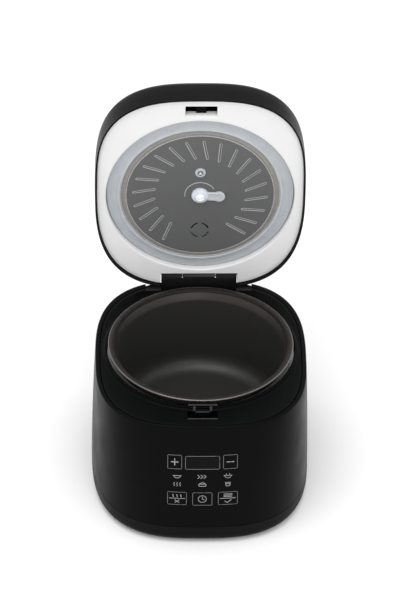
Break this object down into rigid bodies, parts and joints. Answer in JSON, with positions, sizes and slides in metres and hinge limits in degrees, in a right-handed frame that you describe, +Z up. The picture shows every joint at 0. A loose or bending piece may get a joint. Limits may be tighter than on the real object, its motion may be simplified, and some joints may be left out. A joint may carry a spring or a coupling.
{
  "type": "rice cooker",
  "caption": "Small countertop rice cooker with a hinged lid, removable pot, ribbed inner plate and front keys; lid open.",
  "frame": {"origin": "on the pot's axis, in the plane of the surface the cooker stands on", "axes": "-Y towards the front with the keys, +Z up, +X to the right seen from the front"},
  "size_m": [0.235, 0.2946, 0.415],
  "materials": {
    "shell_black": "fine matte moulded",
    "lid_black": "satin moulded",
    "base_black": "matte moulded",
    "deck_black": "satin moulded",
    "dark_plastic": "matte moulded",
    "window_black": "gloss tinted",
    "key_black": "matte with printed outline",
    "liner_white": "semi-gloss moulded",
    "plate_grey": "non-stick coated, fine speckle",
    "pot_coating": "non-stick coated",
    "silicone_clear": "translucent silicone",
    "silicone_grey": "silicone",
    "rubber_dark": "matte rubber",
    "steel": "plain",
    "aluminium": "as cast",
    "copper_foil": "heater foil",
    "board_green": "solder mask",
    "ceramic_white": "ceramic",
    "part_black": "component bodies"
  },
  "bodies": {
    "cooker_body": {"outer_shell": "shell_black", "base_cover": "base_black", "rubber_feet": "rubber_dark", "base_screws": "steel", "deck_frame": "deck_black", "latch_cover": "dark_plastic", "striker": "dark_plastic", "pot_well": "aluminium", "heater_plate": "aluminium", "heater_element": "steel", "heater_spacers": "ceramic_white", "band_heater": "copper_foil", "thermal_fuse": "ceramic_white", "sensor_bracket": "steel", "sensor_spring": "steel", "power_board": "board_green", "power_components": "part_black", "control_board": "board_green", "key_switches": "part_black", "display_module": "part_black", "display_window": "window_black", "inlet_housing": "dark_plastic", "inlet_pins": "steel", "inlet_screws": "steel", "hinge_bracket": "deck_black", "hinge_pin": "steel", "hinge_cover": "deck_black", "hinge_springs": "steel"},
    "pot": {"inner_pot": "pot_coating"},
    "pot_sensor": {"centre_sensor": "aluminium"},
    "plus_key": {"key_plus": "key_black"},
    "minus_key": {"key_minus": "key_black"},
    "keep_warm_key": {"key_keep_warm": "key_black"},
    "timer_key": {"key_timer": "key_black"},
    "menu_key": {"key_menu": "key_black"},
    "lid": {"lid_shell": "lid_black", "lid_liner": "liner_white", "lid_screws": "steel", "hinge_arm": "dark_plastic", "centre_post": "ceramic_white", "lid_sensor": "steel", "steam_seat": "dark_plastic", "hook_pin": "steel", "hook_spring": "steel"},
    "plate": {"inner_plate": "plate_grey", "plate_grommet": "silicone_grey", "sensor_grommet": "silicone_clear", "lid_gasket": "silicone_clear"},
    "steam_vent": {"steam_cap": "lid_black", "steam_cap_seal": "silicone_grey"},
    "hook": {"latch_hook": "dark_plastic"},
    "button": {"release_button": "dark_plastic"}
  },
  "joints": [
    {"name": "lid_hinge", "type": "hinge", "parent": "cooker_body", "child": "lid", "pos_m": [0, 0.117, 0.164], "axis": [1, 0, 0], "range_deg": [0, 89], "stiffness_Nm_per_rad": 0.5, "springref_deg": -40.11},
    {"name": "pot_lift", "type": "slide", "parent": "cooker_body", "child": "pot", "axis": [0, 0, -1], "range_m": [-0.1, 0]},
    {"name": "sensor_plunge", "type": "slide", "parent": "cooker_body", "child": "pot_sensor", "axis": [0, 0, 1], "range_m": [-0.003, 0], "stiffness_N_per_m": 400, "springref_m": 0.006, "deforming": ["sensor_spring"]},
    {"name": "plus_press", "type": "slide", "parent": "cooker_body", "child": "plus_key", "axis": [0, 1, 0], "range_m": [0, 0.0004], "stiffness_N_per_m": 900, "springref_m": -0.0006},
    {"name": "minus_press", "type": "slide", "parent": "cooker_body", "child": "minus_key", "axis": [0, 1, 0], "range_m": [0, 0.0004], "stiffness_N_per_m": 900, "springref_m": -0.0006},
    {"name": "keep_warm_press", "type": "slide", "parent": "cooker_body", "child": "keep_warm_key", "axis": [0, 1, 0], "range_m": [0, 0.0004], "stiffness_N_per_m": 900, "springref_m": -0.0006},
    {"name": "timer_press", "type": "slide", "parent": "cooker_body", "child": "timer_key", "axis": [0, 1, 0], "range_m": [0, 0.0004], "stiffness_N_per_m": 900, "springref_m": -0.0006},
    {"name": "menu_press", "type": "slide", "parent": "cooker_body", "child": "menu_key", "axis": [0, 1, 0], "range_m": [0, 0.0004], "stiffness_N_per_m": 900, "springref_m": -0.0006},
    {"name": "plate_pull", "type": "slide", "parent": "lid", "child": "plate", "axis": [0, 0.9998, 0.0175], "range_m": [-0.006, 0]},
    {"name": "steam_cap_pull", "type": "slide", "parent": "lid", "child": "steam_vent", "axis": [0, -0.9998, -0.0175], "range_m": [-0.03, 0]},
    {"name": "release_press", "type": "slide", "parent": "lid", "child": "button", "axis": [0, -0.9998, -0.0175], "range_m": [0, 0.0022], "stiffness_N_per_m": 900, "springref_m": -0.002},
    {"name": "hook_turn", "type": "hinge", "parent": "lid", "child": "hook", "pos_m": [0, 0.12879, 0.40524], "axis": [-1, 0, 0], "range_deg": [0, 12], "stiffness_Nm_per_rad": 0.05, "springref_deg": -17.19}
  ],
  "couplings": [
    {"joint": "hook_turn", "follows": "release_press", "rad_per_m": 95.2}
  ]
}
